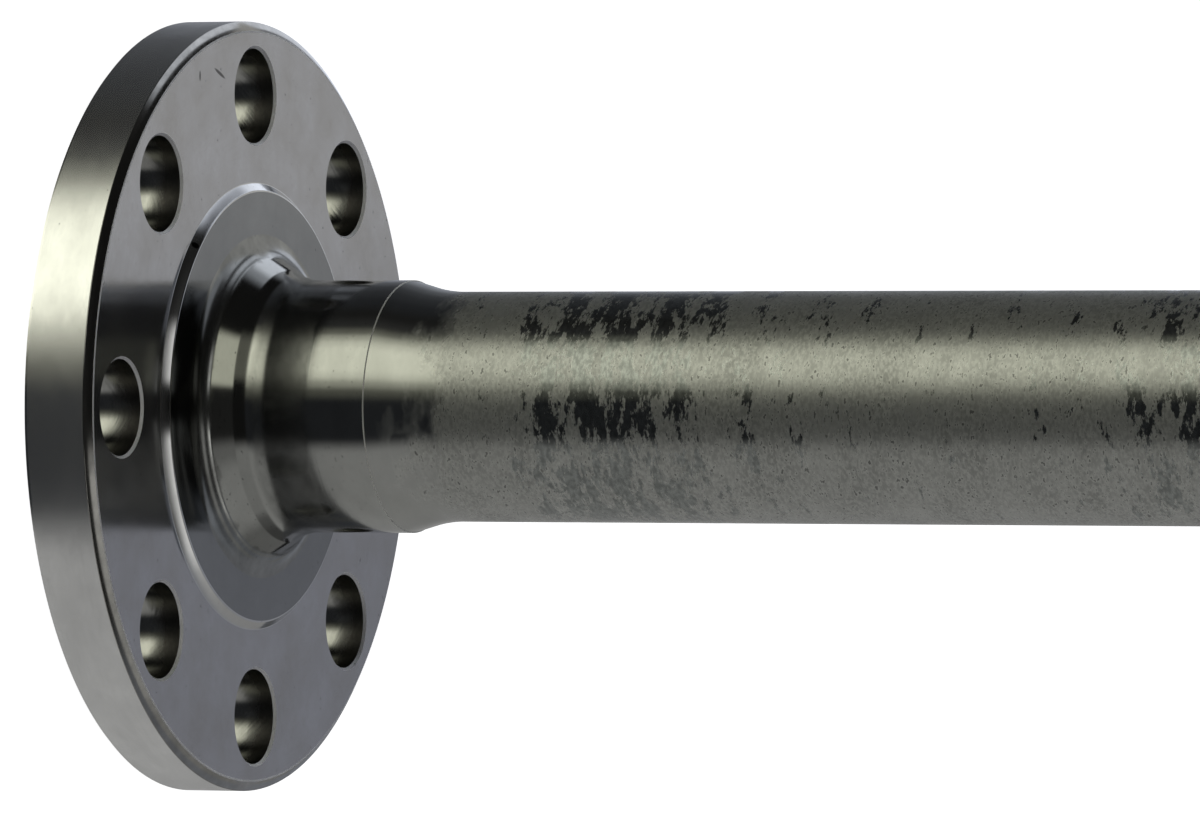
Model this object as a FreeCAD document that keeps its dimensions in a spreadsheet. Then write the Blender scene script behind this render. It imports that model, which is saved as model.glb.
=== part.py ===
import FreeCAD, Part
import os

import Sketcher

# A full-floating axle shaft: a forged flange, a ground neck, a plain bar and a splined inner end, in
# one piece of steel.  The shaft stands on its flange: the outer flange face is at Z = 0, centred on
# the axis, and the shaft runs up +Z.  One bolt hole lies toward -X.  All lengths are in millimetres
# and all angles in degrees.

DRIVING_SIZES = [
    ("flange_dia", 150.0),
    ("flange_thick", 14.0),
    ("outer_edge_chamfer", 1.0),
    ("shaft_side_chamfer_width", 2.0),
    ("shaft_side_chamfer_drop", 1.3),
    ("bolt_hole_dia", 18.5),
    ("bolt_hole_count", 8),
    ("bolt_hole_deburr", 0.5),
    ("bolt_circle_inset", 14.5),
    ("boss_ledge", 13.1),
    ("boss_height", 1.5),
    ("boss_edge_slope", 1.5),
    ("root_cone_rise", 5.9),
    ("root_cone_angle", 35.5),
    ("root_blend", 6.0),
    ("neck_dia", 49.0),
    ("neck_blend", 11.0),
    ("neck_end_from_flange", 33.8),
    ("neck_end_round", 0.8),
    ("bar_step", 2.25),
    ("shoulder_angle", 17.0),
    ("shoulder_blend", 22.0),
    ("land_blend", 12.0),
    ("overall_length", 800.0),
    ("spline_teeth", 22),
    ("spline_module", 2.0),
    ("spline_pressure_angle", 30.0),
    ("spline_profile_shift", 0.9),
    ("spline_addendum", 0.9),
    ("spline_dedendum", 1.1),
    ("spline_root_rise", 0.35),
    ("spline_root_flat", 1.2),
    ("spline_length", 66.0),
    ("spline_cutter_radius", 35.0),
    ("spline_land_behind", 5.0),
    ("spline_land_taper", 5.0),
    ("spline_end_chamfer", 2.0),
    ("centre_mouth_dia", 12.5),
    ("centre_drill_dia", 5.0),
    ("centre_drill_depth", 12.0),
    ("centre_cone_angle", 60.0),
    ("cut_overrun", 1.0),
]

SHEET_NAME = "Sizes"
NODE_NAME = "axle_shaft"
FULL_TURN = 360.0
MATCH_TOLERANCE = 1e-4
START, END = 1, 2
ORIGIN = -1


def size(alias):
    """The expression that reads one driving size."""
    return f"{SHEET_NAME}.{alias}"


def half(alias):
    return f"{size(alias)} / 2"


# Heights along the shaft, worked out from the driving sizes.
BOSS_TOP = f"({size('flange_thick')} + {size('boss_height')})"
NECK_RADIUS = f"({half('neck_dia')})"
BAR_RADIUS = f"({NECK_RADIUS} - {size('bar_step')})"
CONE_RADIUS = f"({NECK_RADIUS} + {size('root_cone_rise')})"
BOSS_RADIUS = f"({CONE_RADIUS} + {size('boss_ledge')})"
BOSS_TOP_RADIUS = f"({BOSS_RADIUS} - {size('boss_edge_slope')})"
CONE_END = f"({BOSS_TOP} + {size('root_cone_rise')} / tan({size('root_cone_angle')}))"
NECK_END = f"({size('flange_thick')} + {size('neck_end_from_flange')})"
SHOULDER_END = f"({NECK_END} + {size('bar_step')} / tan({size('shoulder_angle')}))"

# The spline follows the 30 degree involute system: its teeth stand on a pitch circle, and the
# profile shift moves tip and root outward together.
PITCH_RADIUS = f"({size('spline_module')} * {size('spline_teeth')} / 2)"
BASE_RADIUS = f"({PITCH_RADIUS} * cos({size('spline_pressure_angle')}))"
SHIFTED_RADIUS = f"({PITCH_RADIUS} + {size('spline_profile_shift')})"
TIP_RADIUS = f"({SHIFTED_RADIUS} + {size('spline_addendum')})"
ROOT_RADIUS = f"({SHIFTED_RADIUS} - {size('spline_dedendum')})"
FORM_RADIUS = f"({ROOT_RADIUS} + {size('spline_root_rise')})"
OVER_RADIUS = f"({TIP_RADIUS} + {size('cut_overrun')})"
TOOTH_DEPTH = f"({size('spline_addendum')} + {size('spline_dedendum')})"

# The cutter leaves the shaft along an arc behind the full-depth teeth.
CUTTER = size("spline_cutter_radius")
FULL_DEPTH_START = f"({size('overall_length')} - {size('spline_length')})"
RUNOUT_ANGLE = f"acos(1 - ({TOOTH_DEPTH} + {size('cut_overrun')}) / {CUTTER})"
RUNOUT_LENGTH = f"sqrt({CUTTER} ^ 2 - ({CUTTER} - {TOOTH_DEPTH}) ^ 2)"
LAND_START = f"({FULL_DEPTH_START} - {RUNOUT_LENGTH} - {size('spline_land_behind')})"
BAR_END = f"({LAND_START} - {size('spline_land_taper')})"
LAND_HEADING = f"(-atan(({TIP_RADIUS} - {BAR_RADIUS}) / {size('spline_land_taper')}) / 1 deg)"

BOLT_CIRCLE_RADIUS = f"({half('flange_dia')} - {size('bolt_circle_inset')})"


def make_sheet(document):
    """Put the driving sizes in a spreadsheet, one alias for each."""
    sheet = document.addObject("Spreadsheet::Sheet", SHEET_NAME)
    for row, (alias, value) in enumerate(DRIVING_SIZES, start=1):
        sheet.set(f"A{row}", alias)
        sheet.set(f"B{row}", str(value))
        sheet.setAlias(f"B{row}", alias)
    document.recompute()


def number(owner, expression):
    """The present value of an expression as a plain number."""
    value = owner.evalExpression(expression)
    return float(getattr(value, "Value", value))


def origin_feature(body, role):
    for feature in body.Origin.OriginFeatures:
        if feature.Role == role:
            return feature
    raise ValueError(f"the body has no {role}")


def new_sketch(body, name, role, height=None):
    """A sketch on one of the body's own origin planes, lifted along its normal if a height is given."""
    sketch = body.newObject("Sketcher::SketchObject", name)
    sketch.AttachmentSupport = [(origin_feature(body, role), "")]
    sketch.MapMode = "FlatFace"
    if height is not None:
        sketch.setExpression("AttachmentOffset.Base.z", height)
    body.Document.recompute()
    return sketch


def pin(sketch, edge, end, place):
    """Hold one point of a sketch at the two distances from its origin that the expressions give."""
    for kind, expression in zip(("DistanceX", "DistanceY"), place):
        value = number(sketch, expression)
        index = sketch.addConstraint(Sketcher.Constraint(kind, ORIGIN, START, edge, end, value))
        sketch.setExpression(f"Constraints[{index}]", expression)


def vector(sketch, place):
    x_expression, y_expression = place
    return FreeCAD.Vector(number(sketch, x_expression), number(sketch, y_expression), 0)


def nearest_end(sketch, edge, point):
    """The end of an edge that lies at the point: an arc may come back turned round."""
    gaps = {end: (sketch.getPoint(edge, end) - point).Length for end in (START, END)}
    return min(gaps, key=gaps.get)


def add_edge(sketch, start, finish, through):
    """A straight edge, or the arc through a third point, which is pinned as well."""
    if through is None:
        return sketch.addGeometry(Part.LineSegment(start, finish), False)
    middle = vector(sketch, through)
    edge = sketch.addGeometry(Part.Arc(start, middle, finish), False)
    mark = sketch.addGeometry(Part.Point(middle), True)
    pin(sketch, mark, START, through)
    sketch.addConstraint(Sketcher.Constraint("PointOnObject", mark, START, edge))
    return edge


def add_outline(sketch, corners):
    """A closed outline.  A corner is a pair of expressions, and the edge that leaves it is straight
    unless a third entry gives the place that its arc passes through."""
    places = [corner[:2] for corner in corners]
    bends = [corner[2] if len(corner) > 2 else None for corner in corners]
    points = [vector(sketch, place) for place in places]
    following = points[1:] + points[:1]
    edges = [add_edge(sketch, *ends) for ends in zip(points, following, bends)]
    for edge, previous, point, place in zip(edges, edges[-1:] + edges[:-1], points, places):
        leaving = nearest_end(sketch, edge, point)
        arriving = nearest_end(sketch, previous, point)
        sketch.addConstraint(Sketcher.Constraint("Coincident", previous, arriving, edge, leaving))
        pin(sketch, edge, leaving, place)


def add_axis(sketch, foot, head):
    """A construction line that a turned feature can take as its axis."""
    ends = vector(sketch, foot), vector(sketch, head)
    line = sketch.addGeometry(Part.LineSegment(*ends), True)
    pin(sketch, line, START, foot)
    pin(sketch, line, END, head)


def ring_edges(shape, radius, height):
    """Names of the round edges about the shaft axis that have this radius and height."""
    names = []
    for index, edge in enumerate(shape.Edges, start=1):
        if not isinstance(edge.Curve, Part.Circle):
            continue
        offset = edge.Curve.Center - FreeCAD.Vector(0, 0, height)
        if offset.Length < MATCH_TOLERANCE and abs(edge.Curve.Radius - radius) < MATCH_TOLERANCE:
            names.append(f"Edge{index}")
    if not names:
        raise ValueError(f"no round edge of radius {radius:.3f} at height {height:.3f}")
    return names


def chamfer_ring(body, name, radius, height, amount):
    """Break the round edge at this radius and height."""
    base = body.Tip
    rings = ring_edges(base.Shape, number(base, radius), number(base, height))
    chamfer = body.newObject("PartDesign::Chamfer", name)
    chamfer.Base = (base, rings)
    chamfer.setExpression("Size", amount)
    body.Document.recompute()


def require_cut(feature, volume_before):
    """A cut that points away from the solid leaves it as it was, and that is a fault."""
    if not feature.Shape.Volume < volume_before:
        raise ValueError(f"{feature.Name} removes nothing")


def cut(body, kind, name, sketch, settings, bound):
    """A pocket or groove from a sketch, with plain settings and sizes bound to expressions."""
    before = body.Shape.Volume
    feature = body.newObject(f"PartDesign::{kind}", name)
    feature.Profile = sketch
    for key, value in settings.items():
        setattr(feature, key, value)
    for key, expression in bound.items():
        feature.setExpression(key, expression)
    sketch.Visibility = False
    body.Document.recompute()
    require_cut(feature, before)
    return feature


def repeat_round_shaft(body, name, originals, count):
    """Copies of the features, evenly spaced about the shaft axis."""
    before = body.Shape.Volume
    pattern = body.newObject("PartDesign::PolarPattern", name)
    pattern.Originals = originals
    pattern.Axis = (origin_feature(body, "Z_Axis"), [""])
    pattern.Angle = FULL_TURN
    pattern.setExpression("Occurrences", count)
    body.Tip = pattern
    body.Document.recompute()
    require_cut(pattern, before)
    return pattern


def rounded(place, radius, arriving, leaving):
    """A corner of an outline taken off by a tangent arc.  The two edges are given by their headings:
    0 runs straight up the shaft, 90 straight in towards its axis."""
    x, y = place
    half_turn = f"(abs(({arriving}) - ({leaving})) / 2)"
    reach = f"({radius} * tan({half_turn}))"
    rise = f"({radius} * (1 / cos({half_turn}) - 1) / (2 * sin({half_turn})))"
    first = f"{x} + {reach} * sin({arriving})", f"{y} - {reach} * cos({arriving})"
    last = f"{x} - {reach} * sin({leaving})", f"{y} + {reach} * cos({leaving})"
    middle = (
        f"{x} + {rise} * (sin({arriving}) - sin({leaving}))",
        f"{y} + {rise} * (cos({leaving}) - cos({arriving}))",
    )
    return [first + (middle,), last]


def turn_shaft(body):
    """The turned form from the outer flange face to the inner end, with its blends."""
    up, inward = "0", "90"
    cone = size("root_cone_angle")
    shoulder = size("shoulder_angle")
    blend = size("shoulder_blend")
    edge = size("neck_end_round")
    sketch = new_sketch(body, "shaft_outline", "XZ_Plane")
    add_outline(sketch, [
        ("0", "0"),
        (half("flange_dia"), "0"),
        (half("flange_dia"), f"{size('flange_thick')} - {size('shaft_side_chamfer_drop')}"),
        (f"{half('flange_dia')} - {size('shaft_side_chamfer_width')}", size("flange_thick")),
        (BOSS_RADIUS, size("flange_thick")),
        (BOSS_TOP_RADIUS, BOSS_TOP),
        *rounded((CONE_RADIUS, BOSS_TOP), size("root_blend"), inward, cone),
        *rounded((NECK_RADIUS, CONE_END), size("neck_blend"), cone, up),
        *rounded((NECK_RADIUS, NECK_END), edge, up, shoulder),
        *rounded((BAR_RADIUS, SHOULDER_END), blend, shoulder, up),
        *rounded((BAR_RADIUS, BAR_END), size("land_blend"), up, LAND_HEADING),
        *rounded((TIP_RADIUS, LAND_START), edge, LAND_HEADING, up),
        (TIP_RADIUS, size("overall_length")),
        ("0", size("overall_length")),
    ])
    turned = body.newObject("PartDesign::Revolution", "turned_form")
    turned.Profile = sketch
    turned.ReferenceAxis = (sketch, ["V_Axis"])
    turned.Angle = FULL_TURN
    sketch.Visibility = False
    body.Document.recompute()

    chamfers = [
        ("outer_edge_chamfer", half("flange_dia"), "0", size("outer_edge_chamfer")),
        ("spline_end_chamfer", TIP_RADIUS, size("overall_length"), size("spline_end_chamfer")),
    ]
    for name, radius, height, amount in chamfers:
        chamfer_ring(body, name, radius, height, amount)


def cut_bolt_holes(body):
    """One bolt hole with both mouths deburred, turned about its own axis, then repeated."""
    sketch = new_sketch(body, "bolt_hole_outline", "XZ_Plane")
    deburr = size("bolt_hole_deburr")
    overrun = size("cut_overrun")
    thick = size("flange_thick")
    axis = f"-{BOLT_CIRCLE_RADIUS}"
    wall = f"{axis} - {half('bolt_hole_dia')}"
    mouth = f"{wall} - {deburr}"
    lip = f"{mouth} - {overrun}"
    add_outline(sketch, [
        (axis, f"-{overrun}"),
        (lip, f"-{overrun}"),
        (mouth, "0"),
        (wall, deburr),
        (wall, f"{thick} - {deburr}"),
        (mouth, thick),
        (lip, f"{thick} + {overrun}"),
        (axis, f"{thick} + {overrun}"),
    ])
    add_axis(sketch, (axis, f"-{overrun}"), (axis, f"{thick} + {overrun}"))
    settings = {"ReferenceAxis": (sketch, ["Axis0"]), "Angle": FULL_TURN}
    hole = cut(body, "Groove", "bolt_hole", sketch, settings, {})
    repeat_round_shaft(body, "bolt_holes", [hole], size("bolt_hole_count"))


def centre_hole_corners(face, direction):
    """Half section of a centre drilling: a cone that takes the lathe centre, and its pilot."""
    mouth = half("centre_mouth_dia")
    drill = half("centre_drill_dia")
    slope = f"tan({half('centre_cone_angle')})"
    cone_depth = f"({mouth} - {drill}) / ({slope})"
    tip_depth = f"{size('centre_drill_depth')} + {drill} * ({slope})"
    overrun = size("cut_overrun")
    return [
        ("0", f"{face} - {direction} * {overrun}"),
        (f"{mouth} + {overrun} * {slope}", f"{face} - {direction} * {overrun}"),
        (drill, f"{face} + {direction} * {cone_depth}"),
        (drill, f"{face} + {direction} * {size('centre_drill_depth')}"),
        ("0", f"{face} + {direction} * ({tip_depth})"),
    ]


def drill_centres(body):
    """The two centre holes that the shaft was turned between, one in each end."""
    ends = [("flange_centre", "0", 1), ("inner_centre", size("overall_length"), -1)]
    for name, face, direction in ends:
        sketch = new_sketch(body, f"{name}_outline", "XZ_Plane")
        add_outline(sketch, centre_hole_corners(face, direction))
        settings = {"ReferenceAxis": (sketch, ["V_Axis"]), "Angle": FULL_TURN}
        cut(body, "Groove", name, sketch, settings, {})


def gap_angle(radius):
    """Half the angle between two teeth at a radius, from the involute of the base circle."""
    pressure = size("spline_pressure_angle")
    here = f"acos({BASE_RADIUS} / {radius})"
    tooth = f"(pi * {size('spline_module')} / 2 + 2 * {size('spline_profile_shift')} * tan({pressure}))"
    half_tooth = f"{tooth} / (2 * {PITCH_RADIUS})"
    at_pitch = f"(tan({pressure}) - {pressure} * pi / 180)"
    at_radius = f"(tan({here}) - {here} / 1 rad)"
    return f"((pi / {size('spline_teeth')} - {half_tooth} - {at_pitch} + {at_radius}) * 1 rad)"


def flank_place(radius, side):
    """A point on a tooth flank at a radius, on the +Y or -Y side of the gap."""
    angle = gap_angle(radius)
    return f"{radius} * cos({angle})", f"{side} * {radius} * sin({angle})"


def cut_spline(body):
    """The tooth gap: straight for the spline's length, then the arc where the cutter lifts out."""
    middle = f"(({FORM_RADIUS} + {TIP_RADIUS}) / 2)"
    tip_up, tip_down = flank_place(TIP_RADIUS, 1), flank_place(TIP_RADIUS, -1)
    form_up, form_down = flank_place(FORM_RADIUS, 1), flank_place(FORM_RADIUS, -1)
    sketch = new_sketch(body, "tooth_gap_outline", "XY_Plane", FULL_DEPTH_START)
    add_outline(sketch, [
        (OVER_RADIUS, tip_up[1]),
        tip_up + (flank_place(middle, 1),),
        form_up,
        (ROOT_RADIUS, half("spline_root_flat")),
        (ROOT_RADIUS, f"-{half('spline_root_flat')}"),
        form_down + (flank_place(middle, -1),),
        tip_down,
        (OVER_RADIUS, tip_down[1]),
    ])
    cutter_axis = f"{ROOT_RADIUS} + {CUTTER}"
    add_axis(sketch, (cutter_axis, "-1"), (cutter_axis, "1"))
    lengthwise = {"Length": f"{size('spline_length')} + {size('cut_overrun')}"}
    gap = cut(body, "Pocket", "tooth_gap", sketch, {"Reversed": True}, lengthwise)
    settings = {"ReferenceAxis": (sketch, ["Axis0"]), "Reversed": True}
    runout = cut(body, "Groove", "cutter_runout", sketch, settings, {"Angle": RUNOUT_ANGLE})
    repeat_round_shaft(body, "spline_teeth", [gap, runout], size("spline_teeth"))


def check_document(document, body):
    """Stop if any object failed, or if the shaft isn't one sound solid."""
    for item in document.Objects:
        if "Invalid" in item.State or "Error" in item.State:
            raise ValueError(f"{item.Label} failed: {item.State}")
    shape = body.Shape
    if shape.isNull() or not shape.isValid() or len(shape.Solids) != 1:
        raise ValueError(f"{body.Label} isn't one valid solid")


def main():
    document = FreeCAD.newDocument(NODE_NAME)
    make_sheet(document)
    body = document.addObject("PartDesign::Body", NODE_NAME)
    body.Label = NODE_NAME
    body.Placement = FreeCAD.Placement()
    turn_shaft(body)
    cut_bolt_holes(body)
    drill_centres(body)
    cut_spline(body)
    document.recompute()
    check_document(document, body)
    os.makedirs("parts", exist_ok=True)
    body.Shape.exportStep(f"parts/{body.Label}.step")


main()
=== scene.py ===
import math

import bmesh
import bpy
from mathutils import Matrix, Vector


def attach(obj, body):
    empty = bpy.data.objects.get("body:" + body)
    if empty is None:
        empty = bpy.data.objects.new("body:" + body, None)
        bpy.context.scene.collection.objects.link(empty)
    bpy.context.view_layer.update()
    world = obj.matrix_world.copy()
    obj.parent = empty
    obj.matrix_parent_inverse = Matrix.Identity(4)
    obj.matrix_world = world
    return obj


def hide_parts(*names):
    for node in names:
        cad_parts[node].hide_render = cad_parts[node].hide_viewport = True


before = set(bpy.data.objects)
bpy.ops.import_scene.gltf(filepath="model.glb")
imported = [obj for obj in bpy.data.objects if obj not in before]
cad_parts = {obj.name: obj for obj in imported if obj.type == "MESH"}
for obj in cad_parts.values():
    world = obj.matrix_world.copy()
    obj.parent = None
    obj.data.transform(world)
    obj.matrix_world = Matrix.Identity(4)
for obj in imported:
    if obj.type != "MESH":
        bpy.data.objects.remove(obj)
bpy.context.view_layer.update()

# A full-floating axle shaft, turned and ground from one forging.  It stands on its outer flange
# face at Z = 0 and runs up +Z.  The sizes are the CAD model's, in millimetres and degrees, apart
# from the small roundings of its edges.  The meshes are made in metres.

MM = 0.001
FULL_TURN = 2 * math.pi
# Points this near to each other are one point, in metres.
MERGE_DISTANCE = 1e-6

FLANGE_RADIUS = 75.0
FLANGE_THICK = 14.0
OUTER_CHAMFER = 1.0
SHAFT_SIDE_CHAMFER = 2.0
SHAFT_SIDE_DROP = 1.3
HOLE_RADIUS = 9.25
HOLE_COUNT = 8
HOLE_DEBURR = 0.5
BOLT_CIRCLE_RADIUS = 60.5
BOSS_RADIUS = 43.5
BOSS_HEIGHT = 1.5
BOSS_SLOPE = 1.5
CONE_RADIUS = 30.4
CONE_ANGLE = 35.5
CONE_BLEND = 6.0
NECK_RADIUS = 24.5
NECK_BLEND = 11.0
NECK_END = 47.8
COLLAR_EDGE = 0.2
BAR_RADIUS = 22.25
SHOULDER_ANGLE = 17.0
SHOULDER_BLEND = 22.0
LENGTH = 800.0
LAND_BLEND = 12.0
LAND_TAPER = 5.0
LAND_BEHIND = 5.0
LAND_EDGE = 0.8
TEETH = 22
MODULE = 2.0
PRESSURE_ANGLE = math.radians(30)
PROFILE_SHIFT = 0.9
TIP_RADIUS = 23.8
ROOT_RADIUS = 21.8
ROOT_RISE = 0.35
ROOT_FLAT = 1.2
SPLINE_LENGTH = 66.0
SPLINE_CHAMFER = 2.0
CUTTER_RADIUS = 35.0
CENTRE_MOUTH = 6.25
CENTRE_DRILL = 2.5
CENTRE_DEPTH = 12.0
CENTRE_HALF_ANGLE = 30.0
OVERRUN = 1.0

BOSS_TOP = FLANGE_THICK + BOSS_HEIGHT
BOSS_TOP_RADIUS = BOSS_RADIUS - BOSS_SLOPE
CONE_END = BOSS_TOP + (CONE_RADIUS - NECK_RADIUS) / math.tan(math.radians(CONE_ANGLE))
SHOULDER_END = NECK_END + (NECK_RADIUS - BAR_RADIUS) / math.tan(math.radians(SHOULDER_ANGLE))
TOOTH_DEPTH = TIP_RADIUS - ROOT_RADIUS
FULL_DEPTH_START = LENGTH - SPLINE_LENGTH
RUNOUT_LENGTH = math.sqrt(CUTTER_RADIUS ** 2 - (CUTTER_RADIUS - TOOTH_DEPTH) ** 2)
LAND_START = FULL_DEPTH_START - RUNOUT_LENGTH - LAND_BEHIND
BAR_END = LAND_START - LAND_TAPER
CENTRE_SLOPE = math.tan(math.radians(CENTRE_HALF_ANGLE))
CENTRE_CONE_DEPTH = (CENTRE_MOUTH - CENTRE_DRILL) / CENTRE_SLOPE
CENTRE_TIP = CENTRE_DEPTH + CENTRE_DRILL * CENTRE_SLOPE

# The roundings of the edges, and how many steps an arc or a circle is drawn in.
EDGE_ROUNDING = 0.3
BOSS_ROUNDING = 0.5
CHAMFER_ROUNDING = 0.7
EDGE_ARC = 4
LAND_ARC = 6
BLEND_ARC = 12
NECK_ARC = 24
FLANK_STEPS = 5
LIFT_STEPS = 14
ROUND_STEPS = 256
HOLE_STEPS = 96

# Faces get their finish by where they are: how near counts as on a plane, how far the facets of
# the rim dip in, how wide the rounding inside the chamfer is, how far a centre hole's faces may
# pass its mouth, and how far the bar's finish runs up the land.
NEAR = 0.001
RIM_DIP = 0.04
CHAMFER_ROUNDING_WIDTH = 0.25
MOUTH_MARGIN = 0.01
BAR_OVERLAP = 2.0
FINISHES = [
    "flange_face", "rim", "edges", "bores", "boss", "neck", "bar", "spline", "chamfer", "collar",
    "mouths",
]


def new_tree(owner):
    """Empty the nodes of a material or a world."""
    owner.use_nodes = True
    tree = owner.node_tree
    tree.nodes.clear()
    return tree


def node(tree, kind, settings=None, inputs=None):
    """A node with its settings, and inputs that are values or other nodes' outputs."""
    made = tree.nodes.new(kind)
    for key, value in (settings or {}).items():
        setattr(made, key, value)
    for key, value in (inputs or {}).items():
        if isinstance(value, bpy.types.NodeSocket):
            tree.links.new(value, made.inputs[key])
        else:
            made.inputs[key].default_value = value
    return made


def math_node(tree, operation, *values):
    made = node(tree, "ShaderNodeMath", {"operation": operation}, dict(enumerate(values)))
    return made.outputs[0]


def vector_math(tree, operation, *values, output="Vector"):
    made = node(tree, "ShaderNodeVectorMath", {"operation": operation}, dict(enumerate(values)))
    return made.outputs[output]


def object_place(tree):
    return node(tree, "ShaderNodeTexCoord").outputs["Object"]


def axes_of(tree, vector):
    """The X, Y and Z of a vector."""
    return node(tree, "ShaderNodeSeparateXYZ", inputs={0: vector}).outputs


def height_of(tree):
    """How far up the shaft a point lies, in metres."""
    return axes_of(tree, object_place(tree))["Z"]


def noise(tree, vector, scale, detail, roughness=0.5):
    return node(tree, "ShaderNodeTexNoise", inputs={
        "Vector": vector, "Scale": scale, "Detail": detail, "Roughness": roughness}).outputs["Fac"]


def mapped(tree, value, low, high, first=0.0, second=1.0, smooth=False):
    """Spread the values between low and high over first to second, and hold them there."""
    settings = {"interpolation_type": "SMOOTHSTEP"} if smooth else {}
    made = node(tree, "ShaderNodeMapRange", settings, {
        "Value": value, "From Min": low, "From Max": high, "To Min": first, "To Max": second})
    return made.outputs[0]


def mix_value(tree, share, first, second):
    return mapped(tree, share, 0.0, 1.0, first, second)


def mix_colour(tree, share, first, second):
    made = node(tree, "ShaderNodeMix", {"data_type": "RGBA"}, {"Factor": share})
    for index, value in ((6, first), (7, second)):
        if isinstance(value, bpy.types.NodeSocket):
            tree.links.new(value, made.inputs[index])
        else:
            made.inputs[index].default_value = (*value, 1)
    return made.outputs[2]


def ramp(tree, value, stops, interpolation="EASE"):
    """A colour ramp from (place, colour) stops."""
    made = node(tree, "ShaderNodeValToRGB", inputs={"Fac": value})
    made.color_ramp.interpolation = interpolation
    elements = made.color_ramp.elements
    while len(elements) > 1:
        elements.remove(elements[-1])
    for index, (place, colour) in enumerate(stops):
        element = elements[0] if index == 0 else elements.new(place)
        element.position = place
        element.color = (*colour, 1.0)
    return made.outputs["Color"]


def grey(level):
    return (level, level, level)


def shade(colour, level):
    return tuple(channel * level for channel in colour)


SOFTBOX = (1.27, 1.28, 1.08)
COOL_CARD = (0.83, 0.88, 1.0)


def soft(level):
    """Light of the softbox's own tint."""
    return shade(SOFTBOX, level / max(SOFTBOX))


def cool(level):
    """Light of the cool card's own tint."""
    return shade(COOL_CARD, level / max(COOL_CARD))


# The studio round the shaft.  Each part of it is placed by the steel surface that shows it to the
# camera: by that surface's heading round the shaft (0 faces the camera, +90 the top of the picture)
# and, from list to list, by how far the surface leans up the shaft.
UPRIGHT = [
    (-90, grey(0.34)), (-78, grey(0.30)), (-64, grey(0.35)), (-22, grey(0.33)), (-14, cool(0.026)),
    (2, cool(0.026)), (7, soft(0.13)), (10.5, soft(0.50)), (14.5, soft(1.08)), (17.5, soft(1.28)),
    (27, soft(1.28)), (30, soft(1.05)), (33, soft(0.66)), (36, soft(0.20)), (40, grey(0.04)),
    (47, grey(0.02)), (56, cool(0.035)), (64, cool(0.055)), (70, cool(0.08)), (76, cool(0.15)),
    (84, cool(0.32)), (90, cool(0.42)),
]
BLEND = [
    (-90, grey(0.05)), (-70, grey(0.07)), (-58, grey(0.13)), (-50, grey(0.28)), (-20, grey(0.28)),
    (-13, grey(0.01)), (9, grey(0.01)), (15, soft(0.16)), (28, soft(0.16)), (36, grey(0.01)),
    (70, grey(0.01)), (80, cool(0.40)), (90, cool(0.85)),
]
CONE = [
    (-90, grey(0.16)), (-65, grey(0.17)), (-52, grey(0.33)), (-30, grey(0.33)), (-18, grey(0.19)),
    (-11, grey(0.02)), (7, grey(0.02)), (10, soft(0.70)), (28, soft(0.70)), (33, grey(0.01)),
    (58, grey(0.01)), (67, cool(0.45)), (75, cool(1.15)), (90, cool(1.15)),
]
EDGE = [
    (-90, grey(0.22)), (-68, grey(0.24)), (-52, grey(0.32)), (-40, grey(0.66)), (-9, grey(0.84)),
    (-5, grey(0.0)), (5, grey(0.0)), (8, grey(0.88)), (18, grey(0.86)), (25, grey(0.03)),
    (50, grey(0.01)), (58, cool(0.10)), (65, cool(0.24)), (76, cool(0.38)), (84, cool(0.95)),
    (90, cool(1.10)),
]
FILLET = [
    (-90, cool(0.25)), (-50, cool(0.18)), (-30, grey(0.02)), (40, grey(0.01)), (50, grey(0.02)),
    (58, cool(0.80)), (75, cool(1.00)), (90, cool(0.95)),
]
RIM_EDGE = [
    (-90, grey(0.22)), (-60, grey(0.24)), (-35, grey(0.40)), (-10, grey(0.45)), (-4, grey(0.01)),
    (72, grey(0.01)), (82, cool(0.05)), (90, cool(0.22)),
]
LEVEL = [
    (-90, cool(0.34)), (-40, cool(0.34)), (40, cool(0.34)), (54, cool(0.40)), (62, cool(0.85)),
    (90, cool(0.95)),
]
# The lean at which each list after UPRIGHT starts to show, the lean at which it has taken over,
# and the list.  EDGE is for the boss's sloped edge, and RIM_EDGE for the flange's wide chamfer.
LEANS = [
    (18.5, 20.5, BLEND), (30.5, 32.5, CONE), (39, 41, FILLET), (42.3, 43.3, EDGE),
    (46.7, 47.7, FILLET), (54, 55.2, RIM_EDGE), (58.8, 60, FILLET), (66, 69, LEVEL),
]
# The direction in which the camera sees the flange.
VIEW = Vector((0.0041, 0.9135, -0.4067)).normalized()
# How bright the studio is where one steel surface mirrors it by way of another, and the ray depth
# past which that is so.
SECOND_LOOK = 0.35
SECOND_LOOK_DEPTH = 2.5


def heading_ramp(tree, turn, stops):
    return ramp(tree, turn, [((heading + 90) / 180, colour) for heading, colour in stops])


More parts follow.
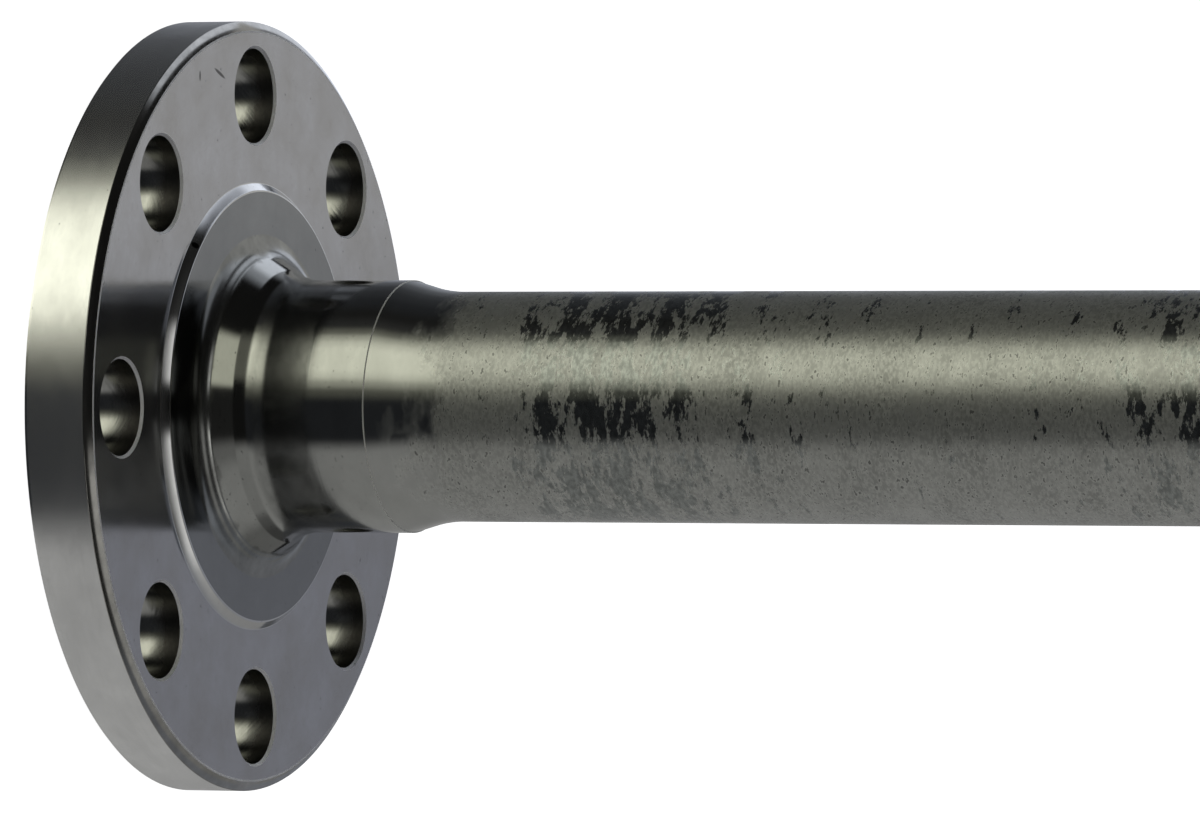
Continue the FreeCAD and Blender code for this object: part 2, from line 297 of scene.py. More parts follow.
def build_world():
    """The studio for everything that the steel mirrors, and plain white for the camera."""
    world = bpy.data.worlds.new("studio_round_the_shaft")
    bpy.context.scene.world = world
    tree = new_tree(world)
    place = node(tree, "ShaderNodeTexCoord").outputs["Generated"]
    # The surface that mirrors this direction to the camera faces half way between the two.
    turned = vector_math(tree, "SUBTRACT", place, VIEW)
    facing = axes_of(tree, vector_math(tree, "NORMALIZE", turned))
    left = math_node(tree, "MULTIPLY", facing["X"], -1.0)
    toward = math_node(tree, "MULTIPLY", facing["Y"], -1.0)
    heading = math_node(tree, "ARCTAN2", left, toward)
    turn = math_node(tree, "MULTIPLY_ADD", heading, 1 / math.pi, 0.5)
    lean = math_node(tree, "MULTIPLY", math_node(tree, "ARCSINE", facing["Z"]), 180 / math.pi)
    surround = heading_ramp(tree, turn, UPRIGHT)
    for start, whole, stops in LEANS:
        share = mapped(tree, lean, start, whole, smooth=True)
        surround = mix_colour(tree, share, surround, heading_ramp(tree, turn, stops))
    path = node(tree, "ShaderNodeLightPath")
    again = math_node(tree, "GREATER_THAN", path.outputs["Ray Depth"], SECOND_LOOK_DEPTH)
    strength = math_node(tree, "MULTIPLY_ADD", again, SECOND_LOOK - 1, 1.0)
    studio = node(tree, "ShaderNodeBackground", inputs={"Color": surround, "Strength": strength})
    white = node(tree, "ShaderNodeBackground", inputs={"Color": (1, 1, 1, 1), "Strength": 1.0})
    seen = node(tree, "ShaderNodeMixShader", inputs={
        0: path.outputs["Is Camera Ray"], 1: studio.outputs[0], 2: white.outputs[0]})
    node(tree, "ShaderNodeOutputWorld", inputs={"Surface": seen.outputs[0]})


def new_object(name, bm):
    """An object from a finished bmesh."""
    mesh = bpy.data.meshes.new(name)
    bm.to_mesh(mesh)
    bm.free()
    made = bpy.data.objects.new(name, mesh)
    bpy.context.scene.collection.objects.link(made)
    return made


FLOOR_HALF_SIDE = 60.0
FLOOR_PAINT = 0.92
FLOOR_GLOW = 0.97


def build_floor():
    """A pale floor that is white to the camera where nothing shades it."""
    bm = bmesh.new()
    bmesh.ops.create_grid(bm, x_segments=1, y_segments=1, size=FLOOR_HALF_SIDE)
    floor = new_object("floor", bm)
    material = bpy.data.materials.new("pale_floor")
    tree = new_tree(material)
    paint = node(tree, "ShaderNodeBsdfDiffuse", inputs={"Color": (*grey(FLOOR_PAINT), 1)})
    path = node(tree, "ShaderNodeLightPath")
    share = math_node(tree, "MULTIPLY", path.outputs["Is Camera Ray"], FLOOR_GLOW)
    glow = node(tree, "ShaderNodeEmission", inputs={"Color": (1, 1, 1, 1), "Strength": share})
    both = node(tree, "ShaderNodeAddShader", inputs={0: paint.outputs[0], 1: glow.outputs[0]})
    node(tree, "ShaderNodeOutputMaterial", inputs={"Surface": both.outputs[0]})
    floor.data.materials.append(material)
    floor.visible_glossy = False


CARD_HALF_SIDES = (0.34, 0.17, 1)
CARD_PLACE = (0, 0.50, 0.26)
# The card's light along X, from (place, colour), where 0.5 is level with the shaft's axis.
CARD_DARK = (0.226, 0.232, 0.256)
CARD_LIGHT = [(0.16, grey(0.39)), (0.44, grey(0.42)), (0.54, CARD_DARK), (0.84, CARD_DARK)]


def build_back_card():
    """A card beyond the shaft that the flange face mirrors: paler at the top of the picture."""
    bm = bmesh.new()
    bmesh.ops.create_grid(bm, x_segments=1, y_segments=1, size=1.0)
    bmesh.ops.scale(bm, vec=CARD_HALF_SIDES, verts=bm.verts[:])
    bmesh.ops.rotate(bm, matrix=Matrix.Rotation(math.radians(90), 3, "X"), verts=bm.verts[:])
    bmesh.ops.translate(bm, vec=CARD_PLACE, verts=bm.verts[:])
    card = new_object("back_card", bm)
    material = bpy.data.materials.new("graded_card")
    tree = new_tree(material)
    across = axes_of(tree, object_place(tree))["X"]
    light = ramp(tree, math_node(tree, "ADD", across, 0.5), CARD_LIGHT)
    glow = node(tree, "ShaderNodeEmission", inputs={"Color": light, "Strength": 1.0})
    node(tree, "ShaderNodeOutputMaterial", inputs={"Surface": glow.outputs[0]})
    card.data.materials.append(material)
    card.visible_camera = False
    card.visible_diffuse = False
    card.visible_shadow = False


# Fitted to the photograph: the camera stands 2.26 m from the flange.  Its place is in millimetres.
CAMERA_PLACE = (-9.3, -2041.9, 959.2)
CAMERA_YAW = 23.13
CAMERA_PITCH = -0.25
CAMERA_ROLL = -0.02
LENS = 346.2
SENSOR_WIDTH = 36.0
NEAREST_SEEN = 0.05
FARTHEST_SEEN = 200.0


def build_camera():
    """The camera lies on its side, so that the shaft runs to the right of the picture."""
    aim = Matrix(((0, -1, 0), (0, 0, -1), (1, 0, 0)))
    turn = Matrix.Rotation(math.radians(CAMERA_YAW), 3, "Y")
    pitch = Matrix.Rotation(math.radians(CAMERA_PITCH), 3, "X")
    roll = Matrix.Rotation(math.radians(-CAMERA_ROLL), 3, "Z")
    data = bpy.data.cameras.new("camera")
    data.sensor_width = SENSOR_WIDTH
    data.lens = LENS
    data.clip_start = NEAREST_SEEN
    data.clip_end = FARTHEST_SEEN
    camera = bpy.data.objects.new("camera", data)
    place = Matrix.Translation(Vector(CAMERA_PLACE) * MM)
    camera.matrix_world = place @ (aim @ turn @ pitch @ roll).to_4x4()
    bpy.context.scene.collection.objects.link(camera)
    bpy.context.scene.camera = camera


def wire(bm, corners):
    """A line of edges through (radius, height) corners in the plane of -X and Z."""
    points = [bm.verts.new((-radius * MM, 0, height * MM)) for radius, height, *rest in corners]
    for first, second in zip(points, points[1:]):
        bm.edges.new((first, second))
    return points


def round_corners(bm, points, corners):
    """Take off the corners that have a blend radius by a tangent arc."""
    for index in range(1, len(corners) - 1):
        if len(corners[index]) < 3:
            continue
        radius, segments = corners[index][2:4]
        here = Vector(corners[index][:2])
        before = (Vector(corners[index - 1][:2]) - here).normalized()
        after = (Vector(corners[index + 1][:2]) - here).normalized()
        half_turn = (math.pi - before.angle(after)) / 2
        reach = radius * math.tan(half_turn) * MM
        bmesh.ops.bevel(bm, geom=[points[index]], offset=reach, offset_type="OFFSET",
                        segments=segments, profile=0.5, affect="VERTICES", material=-1)


def turn_round(bm, steps, centre=(0, 0, 0)):
    """Spin the outline into a solid about a line along Z."""
    bmesh.ops.spin(bm, geom=bm.verts[:] + bm.edges[:], cent=centre, axis=(0, 0, 1), dvec=(0, 0, 0),
                   angle=FULL_TURN, steps=steps, use_merge=True)
    bmesh.ops.remove_doubles(bm, verts=bm.verts[:], dist=MERGE_DISTANCE)
    bmesh.ops.recalc_face_normals(bm, faces=bm.faces[:])


def repeat_round(bm, count):
    """Copies of everything so far, evenly spaced about the shaft axis."""
    bmesh.ops.spin(bm, geom=bm.verts[:] + bm.edges[:] + bm.faces[:], cent=(0, 0, 0), axis=(0, 0, 1),
                   dvec=(0, 0, 0), angle=FULL_TURN * (count - 1) / count, steps=count - 1,
                   use_duplicate=True)


def finish_of(face):
    """Which finish a face of the turned form has, from where it is."""
    centre = face.calc_center_median() / MM
    radius = math.hypot(centre.x, centre.y)
    height = centre.z
    if height < NEAR or height > LENGTH - NEAR or radius < CENTRE_MOUTH + MOUTH_MARGIN:
        return "flange_face"
    if height < FLANGE_THICK - NEAR:
        if radius > FLANGE_RADIUS - RIM_DIP:
            return "rim"
        if height < FLANGE_THICK / 2:
            return "edges"
        rounded = radius < FLANGE_RADIUS - SHAFT_SIDE_CHAMFER + CHAMFER_ROUNDING_WIDTH
        return "mouths" if rounded else "chamfer"
    if height < FLANGE_THICK + NEAR:
        return "flange_face"
    if height < BOSS_TOP - NEAR:
        return "edges"
    if height < BOSS_TOP + NEAR:
        return "boss"
    if NECK_END < height < NECK_END + COLLAR_EDGE:
        return "collar"
    if height < NECK_END:
        return "neck"
    if height < BAR_END + BAR_OVERLAP:
        return "bar"
    return "spline"


def set_finishes(bm, finish=None):
    """Give every face one finish, or else each the finish of its place on the turned form."""
    for face in bm.faces:
        face.material_index = FINISHES.index(finish or finish_of(face))


def shaft_corners():
    """The outline from end to end: (radius, height), with blend radius and arc steps if rounded."""
    return [
        (0, CENTRE_TIP),
        (CENTRE_DRILL, CENTRE_DEPTH),
        (CENTRE_DRILL, CENTRE_CONE_DEPTH),
        (CENTRE_MOUTH, 0),
        (FLANGE_RADIUS - OUTER_CHAMFER, 0, EDGE_ROUNDING, EDGE_ARC),
        (FLANGE_RADIUS, OUTER_CHAMFER, EDGE_ROUNDING, EDGE_ARC),
        (FLANGE_RADIUS, FLANGE_THICK - SHAFT_SIDE_DROP, EDGE_ROUNDING, EDGE_ARC),
        (FLANGE_RADIUS - SHAFT_SIDE_CHAMFER, FLANGE_THICK, CHAMFER_ROUNDING, EDGE_ARC),
        (BOSS_RADIUS, FLANGE_THICK, EDGE_ROUNDING, EDGE_ARC),
        (BOSS_TOP_RADIUS, BOSS_TOP, BOSS_ROUNDING, LAND_ARC),
        (CONE_RADIUS, BOSS_TOP, CONE_BLEND, BLEND_ARC),
        (NECK_RADIUS, CONE_END, NECK_BLEND, NECK_ARC),
        (NECK_RADIUS, NECK_END),
        (NECK_RADIUS - COLLAR_EDGE, NECK_END + COLLAR_EDGE),
        (BAR_RADIUS, SHOULDER_END, SHOULDER_BLEND, BLEND_ARC),
        (BAR_RADIUS, BAR_END, LAND_BLEND, LAND_ARC),
        (TIP_RADIUS, LAND_START, LAND_EDGE, EDGE_ARC),
        (TIP_RADIUS, LENGTH - SPLINE_CHAMFER, EDGE_ROUNDING, EDGE_ARC),
        (TIP_RADIUS - SPLINE_CHAMFER, LENGTH, EDGE_ROUNDING, EDGE_ARC),
        (CENTRE_MOUTH, LENGTH),
        (CENTRE_DRILL, LENGTH - CENTRE_CONE_DEPTH),
        (CENTRE_DRILL, LENGTH - CENTRE_DEPTH),
        (0, LENGTH - CENTRE_TIP),
    ]


def turned_form():
    """The forging as it leaves the lathe, before it is drilled and hobbed."""
    bm = bmesh.new()
    corners = shaft_corners()
    round_corners(bm, wire(bm, corners), corners)
    turn_round(bm, ROUND_STEPS)
    set_finishes(bm)
    return new_object("axle_shaft_steel", bm)


# A cutter's face that tilts more than this is a mouth's slope, not the wall of the hole.
MOUTH_TILT = 0.1


def hole_cutters():
    """The bolt holes, each with both of its mouths deburred."""
    mouth = HOLE_RADIUS + HOLE_DEBURR
    bm = bmesh.new()
    wire(bm, [
        (BOLT_CIRCLE_RADIUS, -OVERRUN),
        (BOLT_CIRCLE_RADIUS + mouth + OVERRUN, -OVERRUN),
        (BOLT_CIRCLE_RADIUS + mouth, 0),
        (BOLT_CIRCLE_RADIUS + HOLE_RADIUS, HOLE_DEBURR),
        (BOLT_CIRCLE_RADIUS + HOLE_RADIUS, FLANGE_THICK - HOLE_DEBURR),
        (BOLT_CIRCLE_RADIUS + mouth, FLANGE_THICK),
        (BOLT_CIRCLE_RADIUS + mouth + OVERRUN, FLANGE_THICK + OVERRUN),
        (BOLT_CIRCLE_RADIUS, FLANGE_THICK + OVERRUN),
    ])
    turn_round(bm, HOLE_STEPS, (-BOLT_CIRCLE_RADIUS * MM, 0, 0))
    for face in bm.faces:
        slanted = abs(face.normal.z) > MOUTH_TILT
        face.material_index = FINISHES.index("mouths" if slanted else "bores")
    repeat_round(bm, HOLE_COUNT)
    return new_object("hole_cutters", bm)


def half_gap(radius):
    """Half the angle between two teeth at a radius."""
    pitch = MODULE * TEETH / 2
    here = math.acos(pitch * math.cos(PRESSURE_ANGLE) / radius)
    tooth = math.pi * MODULE / 2 + 2 * PROFILE_SHIFT * math.tan(PRESSURE_ANGLE)
    rolled = math.tan(here) - here - math.tan(PRESSURE_ANGLE) + PRESSURE_ANGLE
    return math.pi / TEETH - tooth / (2 * pitch) + rolled


def spline_cutters():
    """The gaps between the teeth, and the arc at their end where the cutter lifts out."""
    form = ROOT_RADIUS + ROOT_RISE
    flank = []
    for step in range(FLANK_STEPS + 1):
        radius = form + (TIP_RADIUS - form) * step / FLANK_STEPS
        turn = half_gap(radius)
        flank.append((radius * math.cos(turn), radius * math.sin(turn)))
    side = [(ROOT_RADIUS, ROOT_FLAT / 2)] + flank + [(TIP_RADIUS + OVERRUN, flank[-1][1])]
    outline = side + [(x, -y) for x, y in reversed(side)]
    bm = bmesh.new()
    gap = bm.faces.new([bm.verts.new((x * MM, y * MM, FULL_DEPTH_START * MM)) for x, y in outline])
    lift = math.acos(1 - (TOOTH_DEPTH + OVERRUN) / CUTTER_RADIUS)
    hub = ((ROOT_RADIUS + CUTTER_RADIUS) * MM, 0, FULL_DEPTH_START * MM)
    bmesh.ops.spin(bm, geom=[gap, *gap.edges, *gap.verts], cent=hub, axis=(0, 1, 0), dvec=(0, 0, 0),
                   angle=lift, steps=LIFT_STEPS)
    start = [face for face in bm.faces
             if all(abs(vert.co.z - FULL_DEPTH_START * MM) < MERGE_DISTANCE for vert in face.verts)]
    grown = bmesh.ops.extrude_face_region(bm, geom=start)
    tops = [item for item in grown["geom"] if isinstance(item, bmesh.types.BMVert)]
    bmesh.ops.translate(bm, verts=tops, vec=(0, 0, (SPLINE_LENGTH + OVERRUN) * MM))
    # The face that both parts started from is now a wall inside the cutter.
    bmesh.ops.delete(bm, geom=start, context="FACES_ONLY")
    bmesh.ops.recalc_face_normals(bm, faces=bm.faces[:])
    set_finishes(bm, "spline")
    repeat_round(bm, TEETH)
    return new_object("spline_cutters", bm)


def cut_away(body, cutter):
    """Subtract the cutter for good."""
    for material in body.data.materials:
        cutter.data.materials.append(material)
    modifier = body.modifiers.new("cut", "BOOLEAN")
    modifier.operation = "DIFFERENCE"
    modifier.solver = "EXACT"
    modifier.object = cutter
    graph = bpy.context.evaluated_depsgraph_get()
    mesh = bpy.data.meshes.new_from_object(body.evaluated_get(graph))
    body.modifiers.clear()
    old = body.data
    body.data = mesh
    bpy.data.meshes.remove(old)
    bpy.data.objects.remove(cutter)


# An edge looks sharp where it turns by more than SHARP_TURN, and round a flat face where the finish
# changes and it turns by more than SLIGHT_TURN.
SHARP_TURN = math.radians(24)
SLIGHT_TURN = math.radians(1)
FLAT = 0.99999


def smooth_shading(bm):
    """Shade the faces smoothly, except across the sharp edges."""
    for face in bm.faces:
        face.smooth = True
    for edge in bm.edges:
        turn = edge.calc_face_angle(0)
        changed = len({face.material_index for face in edge.link_faces}) > 1
        flat = any(abs(face.normal.z) > FLAT for face in edge.link_faces)
        edge.smooth = not (turn > SHARP_TURN or (flat and changed and turn > SLIGHT_TURN))


def build_shaft(materials):
    """The drilled and splined shaft, in place of the CAD model's node."""
    shaft = turned_form()
    for material in materials:
        shaft.data.materials.append(material)
    cut_away(shaft, hole_cutters())
    cut_away(shaft, spline_cutters())
    mesh = shaft.data
    mesh.name = "axle_shaft_steel"
    bm = bmesh.new()
    bm.from_mesh(mesh)
    smooth_shading(bm)
    bm.to_mesh(mesh)
    bm.free()
    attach(shaft, "root")
    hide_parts("axle_shaft")


def new_group(name, inputs, outputs):
    """A node group with float inputs (name: usual value) and its outputs' names."""
    group = bpy.data.node_groups.new(name, "ShaderNodeTree")
    for label, value in inputs.items():
        socket = group.interface.new_socket(label, in_out="INPUT", socket_type="NodeSocketFloat")
        socket.default_value = value
    for label in outputs:
        group.interface.new_socket(label, in_out="OUTPUT", socket_type="NodeSocketFloat")
    return group, node(group, "NodeGroupInput").outputs


def give(group, **values):
    """Put out the named values of a node group."""
    made = node(group, "NodeGroupOutput")
    for label, value in values.items():
        group.links.new(value, made.inputs[label])


# How many rings there are in a metre, how fast they change along their length, and how many broad
# rings there are for each fine one.
LINES_PER_METRE = 3000
RUN = 12
BROAD_LINES = 0.12


def turning_marks_group():
    """Fine rings left by the lathe tool or the grinding wheel, broken up along their length."""
    group, given = new_group(
        "turning_marks", {"Lines per metre": LINES_PER_METRE, "Run": RUN}, ["Height", "Shade"])
    place = object_place(group)
    x, y, z = axes_of(group, place)
    # The way across the marks is up the shaft on a cylinder and out from the axis on a flat face.
    level = vector_math(group, "MULTIPLY", place, (1, 1, 0))
    across = math_node(group, "ADD", vector_math(group, "LENGTH", level, output="Value"), z)
    vector = node(group, "ShaderNodeCombineXYZ", inputs={
        0: math_node(group, "MULTIPLY", across, given["Lines per metre"]),
        1: math_node(group, "MULTIPLY", x, given["Run"]),
        2: math_node(group, "MULTIPLY", y, given["Run"])}).outputs[0]
    fine = noise(group, vector, 1.0, detail=2.0)
    wide = vector_math(group, "MULTIPLY", vector, (BROAD_LINES, 1, 1))
    broad = noise(group, wide, 1.0, detail=2.0)
    both = math_node(group, "MULTIPLY_ADD", fine, 0.5, math_node(group, "MULTIPLY", broad, 0.5))
    give(group, Height=fine, Shade=both)
    return group


CLOUD_SIZE = 90
SPECK_SIZE = 900
SPECKS = 0.35
STAIN_SQUEEZE = 1.8
# The grain's peaks above a level are specks.  The level comes down from the highest one as a finish
# has more of them, and a peak is a full speck once it stands this far above the level.
HIGHEST_LEVEL = 0.78
LEVEL_RANGE = 0.2
SPECK_FADE = 0.05


def handling_group():
    """Cloudy stains and small specks on bare steel."""
    group, given = new_group(
        "handling", {"Cloud size": CLOUD_SIZE, "Speck size": SPECK_SIZE, "Specks": SPECKS},
        ["Clouds", "Specks", "Grain"])
    squeezed = vector_math(group, "MULTIPLY", object_place(group), (1, 1, STAIN_SQUEEZE))
    clouds = noise(group, squeezed, given["Cloud size"], detail=4.0, roughness=0.6)
    grain = noise(group, squeezed, given["Speck size"], detail=2.0, roughness=0.6)
    lowered = math_node(group, "MULTIPLY", given["Specks"], LEVEL_RANGE)
    level = math_node(group, "SUBTRACT", HIGHEST_LEVEL, lowered)
    whole = math_node(group, "ADD", level, SPECK_FADE)
    specks = mapped(group, grain, level, whole, smooth=True)
    give(group, Clouds=mapped(group, clouds, 0.32, 0.68), Specks=specks, Grain=grain)
    return group


# Where smooth dark patches lie on the bar: height in metres, and how much of it they cover there.
PATCHES = [
    (0.072, 0.00), (0.082, 0.50), (0.088, 0.62), (0.112, 0.60), (0.118, 0.34), (0.134, 0.20),
    (0.150, 0.04), (0.196, 0.08), (0.208, 0.46), (0.226, 0.58), (0.244, 0.60), (0.262, 0.26),
    (0.290, 0.06), (0.350, 0.40), (0.372, 0.10), (0.455, 0.05), (0.478, 0.54), (0.510, 0.28),
    (0.540, 0.04), (0.610, 0.05), (0.634, 0.44), (0.668, 0.22), (0.700, 0.02),
]
EDGE_SIZE = 120.0
EDGE_SQUEEZE = 3.0
PIT_SIZE = 430.0
PIT_SQUEEZE = 2.4
PIT_DEPTH = 1.5
STRIPE_TURN_PER_METRE = 620.0
STRIPE_SLANT = 4.0
STRIPE_DEPTH = 0.16
PATCH_FADE = 0.16


def smooth_patches_group():
    """Patches that the wheel missed: dark, smooth skin with ragged edges, pits and gaps."""
    group, _ = new_group("smooth_patches", {}, ["Patches"])
    place = object_place(group)
    x, y, z = axes_of(group, place)
    cover = ramp(group, z, [(height, grey(share)) for height, share in PATCHES], "LINEAR")
    drawn_out = vector_math(group, "MULTIPLY", place, (1, 1, EDGE_SQUEEZE))
    edges = noise(group, drawn_out, EDGE_SIZE, detail=6.0, roughness=0.7)
    ragged = mapped(group, edges, 0.33, 0.67)
    combed = vector_math(group, "MULTIPLY", place, (1, 1, PIT_SQUEEZE))
    pits = noise(group, combed, PIT_SIZE, detail=4.0, roughness=0.65)
    pits = math_node(group, "SUBTRACT", pits, 0.5)
    broken = math_node(group, "MULTIPLY_ADD", pits, PIT_DEPTH, ragged)
    turned = math_node(group, "MULTIPLY", math_node(group, "ARCTAN2", x, y), STRIPE_SLANT)
    slant = math_node(group, "MULTIPLY_ADD", z, STRIPE_TURN_PER_METRE, turned)
    stripes = math_node(group, "SINE", slant)
    raised = math_node(group, "MULTIPLY_ADD", stripes, STRIPE_DEPTH, broken)
    over = math_node(group, "SUBTRACT", raised, math_node(group, "SUBTRACT", 1.0, cover))
    give(group, Patches=mapped(group, over, 0.0, PATCH_FADE, smooth=True))
    return group


# How deep the rings are, in metres.
MARK_DEPTH = 0.00004


class Steel:
    """One finish of the forging: its marks, stains and specks."""

    def __init__(self, name, groups, lines=LINES_PER_METRE, run=RUN, cloud=CLOUD_SIZE,
                 speck=SPECK_SIZE, specks=SPECKS):
        self.material = bpy.data.materials.new(name)
        self.tree = new_tree(self.material)
        self.marks = self.place(groups["turning_marks"], {"Lines per metre": lines, "Run": run})
        self.handling = self.place(
            groups["handling"], {"Cloud size": cloud, "Speck size": speck, "Specks": specks})

    def place(self, group, values):
        """Put a node group into the material, with its own values."""
        made = node(self.tree, "ShaderNodeGroup", {"node_tree": group})
        for label, value in values.items():
            made.inputs[label].default_value = value
        return made.outputs

    def clouded(self, first, second):
        return mix_colour(self.tree, self.handling["Clouds"], first, second)

    def specked(self, plain, dark):
        return mix_colour(self.tree, self.handling["Specks"], plain, dark)

    def marked(self, colour, low, high):
        return mix_colour(self.tree, self.marks["Shade"], shade(colour, low), shade(colour, high))

    def finish(self, colour, roughness, bump=0.1, metal=1.0):
        """Close the material with its shader."""
        relief = node(self.tree, "ShaderNodeBump", inputs={
            "Strength": bump, "Distance": MARK_DEPTH, "Height": self.marks["Height"]})
        shader = node(self.tree, "ShaderNodeBsdfPrincipled", inputs={
            "Base Color": colour, "Metallic": metal, "Roughness": roughness,
            "Normal": relief.outputs[0]})
        node(self.tree, "ShaderNodeOutputMaterial", inputs={"Surface": shader.outputs[0]})
        return self.material


# Two short scratches on the flange's shaft side and a nick in the boss's edge: middle, half length
# and half width in millimetres, and direction in degrees.
SCRATCHES = [((-64.5, -16.5, 14), 3.2, 0.45, 21), ((-63.8, -25.5, 14), 1.3, 0.45, 90)]
NICKS = [((-31.1, -29.3, 14.75), 1.3, 0.9, 45)]
SCRATCH_HALF_HEIGHT = 1


def scratched(tree, plain, dark, scratches):
    """Lay short dark scratches over a colour."""
    for middle, reach, width, direction in scratches:
        near = node(tree, "ShaderNodeMapping", {"vector_type": "TEXTURE"}, {
            "Vector": object_place(tree), "Location": Vector(middle) * MM,
            "Rotation": (0, 0, math.radians(90 - direction)),
            "Scale": (reach * MM, width * MM, SCRATCH_HALF_HEIGHT * MM)})
        inside = node(tree, "ShaderNodeTexGradient", {"gradient_type": "SPHERICAL"}, {
            "Vector": near.outputs[0]}).outputs["Fac"]
        plain = mix_colour(tree, mapped(tree, inside, 0.1, 0.4), plain, dark)
    return plain


MARK_SHADES = (0.86, 1.1)
SPECK_SHADE = 0.45
SCRATCH_SHADE = 0.22
NICK_SHADE = 0.05
ROUGH_SPREAD = 0.25


def plain_steel(name, groups, colour, roughness, spread=0.12, metal=1.0, scratches=(), **marks):
    """Bare steel that varies a little in colour and roughness with its marks and stains."""
    made = Steel(name, groups, **marks)
    tree = made.tree
    clouded = made.clouded(shade(colour, 1 - spread), shade(colour, 1 + spread))
    both = mix_colour(tree, made.handling["Grain"], clouded, made.marked(colour, *MARK_SHADES))
    both = made.specked(both, shade(colour, SPECK_SHADE))
    both = scratched(tree, both, shade(colour, NICK_SHADE), scratches)
    rough = mix_value(tree, made.handling["Clouds"], roughness * (1 + ROUGH_SPREAD),
                      roughness * (1 - ROUGH_SPREAD))
    return made.finish(both, rough, metal=metal)


FACE = (0.60, 0.60, 0.61)
WARM_CLOUD = (0.515, 0.505, 0.490)
COOL_CLOUD = (0.680, 0.690, 0.725)


def face_steel(groups):
    """The faced sides of the flange, with their scratches."""
    made = Steel("faced_flange", groups, lines=2200, run=20)
    tree = made.tree
    clouded = made.clouded(WARM_CLOUD, COOL_CLOUD)
    both = mix_colour(tree, made.handling["Grain"], clouded, made.marked(FACE, *MARK_SHADES))
    both = made.specked(both, shade(FACE, SPECK_SHADE))
    both = scratched(tree, both, shade(FACE, SCRATCH_SHADE), SCRATCHES)
    return made.finish(both, mix_value(tree, made.handling["Clouds"], 0.15, 0.085), metal=0.94)


# Where the root and the neck are satin and where polished, by height in metres: 0 is polished.
NECK_SATIN = [
    (0.0176, 0.8), (0.0180, 0.0), (0.0238, 0.0), (0.0248, 1.0), (0.0352, 1.0), (0.0358, 0.0),
]
# The ramp that holds them runs from 0 to 0.1 m.
SATIN_SCALE = 10
# How far up and down the ragged lines between them wander, in metres.
NECK_RAGGED = 0.0012
POLISHED = (0.42, 0.425, 0.40)


def neck_steel(groups):
    """The root and the neck: turned, with a polished journal that starts at a ragged line."""
    made = Steel("ground_neck", groups, lines=3200, run=40, cloud=140, speck=1100, specks=0.5)
    tree = made.tree
    ragged = math_node(tree, "MULTIPLY_ADD", made.handling["Clouds"], NECK_RAGGED,
                       math_node(tree, "ADD", height_of(tree), -NECK_RAGGED / 2))
    satin = ramp(tree, math_node(tree, "MULTIPLY", ragged, SATIN_SCALE), [
        (height * SATIN_SCALE, grey(share)) for height, share in NECK_SATIN], "LINEAR")
    bright = made.clouded(shade(POLISHED, 0.92), shade(POLISHED, 1.06))
    dull = made.clouded(shade(POLISHED, 0.55), shade(POLISHED, 0.95))
    colour = made.specked(mix_colour(tree, satin, bright, dull), shade(POLISHED, SPECK_SHADE))
    return made.finish(colour, mix_value(tree, satin, 0.10, 0.21), bump=0.05)


SATIN = (0.55, 0.555, 0.517)
SKIN = (0.275, 0.288, 0.272)
SHOULDER_DULL = (0.38, 0.385, 0.36)
SHOULDER_BRIGHT = (0.45, 0.455, 0.43)
# The heights in metres between which the shoulder's polish gives way, and how ragged that line is.
POLISH_END = (0.0620, 0.0690)
POLISH_RAGGED = 0.012


def bar_steel(groups):
    """The ground bar: satin, with specks, light marks and the smooth dark patches."""
    made = Steel("ground_bar", groups, lines=2600, run=30, cloud=75, speck=820, specks=0.78)
    tree = made.tree
    clouds = made.handling["Clouds"]
    patches = made.place(groups["smooth_patches"], {})["Patches"]
    grain = mapped(tree, made.handling["Grain"], 0.39, 0.62)
    clouded = made.clouded(shade(SATIN, 0.71), shade(SATIN, 0.99))
    both = mix_colour(tree, grain, clouded, made.marked(SATIN, 1.01, 1.40))
    specked = made.specked(both, shade(SATIN, 0.42))
    skin = mix_colour(tree, grain, shade(SKIN, 0.80), shade(SKIN, 1.25))
    colour = mix_colour(tree, patches, specked, skin)
    rough = math_node(tree, "MULTIPLY", mix_value(tree, clouds, 0.35, 0.26),
                      mix_value(tree, patches, 1.0, 0.28))
    # The shoulder is polished like the neck, up to a ragged line.
    ragged = math_node(tree, "MULTIPLY_ADD", clouds, POLISH_RAGGED, height_of(tree))
    ground = mapped(tree, ragged, *POLISH_END)
    colour = mix_colour(tree, ground, made.clouded(SHOULDER_DULL, SHOULDER_BRIGHT), colour)
    rough = mix_value(tree, ground, 0.13, rough)
    metal = mix_value(tree, ground, 1.0, mix_value(tree, patches, 0.50, 0.94))
    return made.finish(colour, rough, bump=0.22, metal=metal)


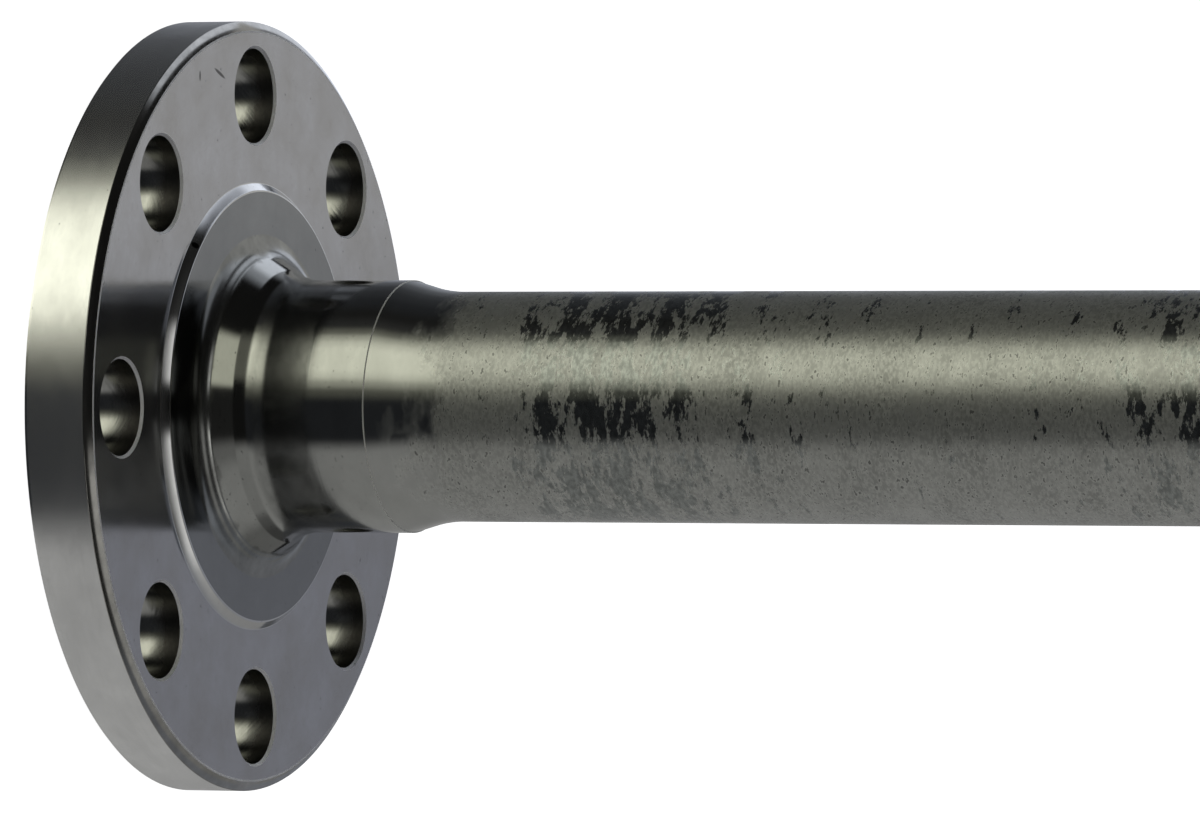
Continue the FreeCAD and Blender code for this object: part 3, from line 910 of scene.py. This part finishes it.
BARE_DULL = (0.34, 0.34, 0.32)
BARE_BRIGHT = (0.52, 0.52, 0.49)
# The colours of the darker band inside the bores near the shaft-side mouths.
DARK_BAND_LOW = (0.10, 0.095, 0.09)
DARK_BAND_HIGH = (0.20, 0.19, 0.17)
# The heights in metres between which the darker band fades, and how ragged that line is.
DARK_BAND_END = (0.0125, 0.0095)
DARK_BAND_RAGGED = 0.003


def bore_steel(groups):
    """The drilled walls of the bolt holes: darker and rougher near the shaft-side mouths, bare
    farther in.
    """
    made = Steel("drilled_bores", groups, lines=1800, run=90, cloud=130)
    tree = made.tree
    ragged = math_node(tree, "MULTIPLY_ADD", made.handling["Clouds"], DARK_BAND_RAGGED, height_of(tree))
    deep = mapped(tree, ragged, *DARK_BAND_END)
    dark_band = mix_colour(tree, made.handling["Grain"], DARK_BAND_LOW, DARK_BAND_HIGH)
    colour = mix_colour(tree, deep, dark_band, made.clouded(BARE_DULL, BARE_BRIGHT))
    return made.finish(colour, mix_value(tree, deep, 0.30, 0.17), bump=0.4)


def build_materials():
    """The materials, in the order of FINISHES."""
    made = [turning_marks_group(), handling_group(), smooth_patches_group()]
    groups = {group.name: group for group in made}
    return [
        face_steel(groups),
        plain_steel("ground_rim", groups, (0.86, 0.86, 0.84), 0.20, metal=0.9,
                    lines=2500, run=14, specks=0.2),
        plain_steel("broken_edges", groups, (0.80, 0.80, 0.78), 0.09, scratches=NICKS, lines=3500),
        bore_steel(groups),
        plain_steel("turned_boss", groups, (0.33, 0.34, 0.345), 0.13, lines=2200, run=20),
        neck_steel(groups),
        bar_steel(groups),
        plain_steel("hobbed_spline", groups, (0.55, 0.55, 0.54), 0.26, lines=2400, run=40),
        plain_steel("rough_chamfer", groups, (0.48, 0.47, 0.435), 0.11, spread=0.3,
                    lines=3500, run=60, cloud=220),
        # The collar's small chamfer is painted pale and dull: a painted highlight for the light
        # line that its edge catches.
        plain_steel("collar_painted_highlight", groups, (0.78, 0.78, 0.74), 0.50, metal=0.2, lines=3500, run=60),
        # The deburred mouths of the holes and the rounding inside the flange's chamfer are painted
        # pale and dull: a painted highlight for the ring of light that these small edges catch.
        plain_steel("mouths_painted_highlight", groups, (0.92, 0.92, 0.93), 0.45, metal=0.1, lines=3500, run=60),
    ]


bpy.context.scene.view_settings.view_transform = "Standard"
build_world()
build_floor()
build_back_card()
build_camera()
build_shaft(build_materials())
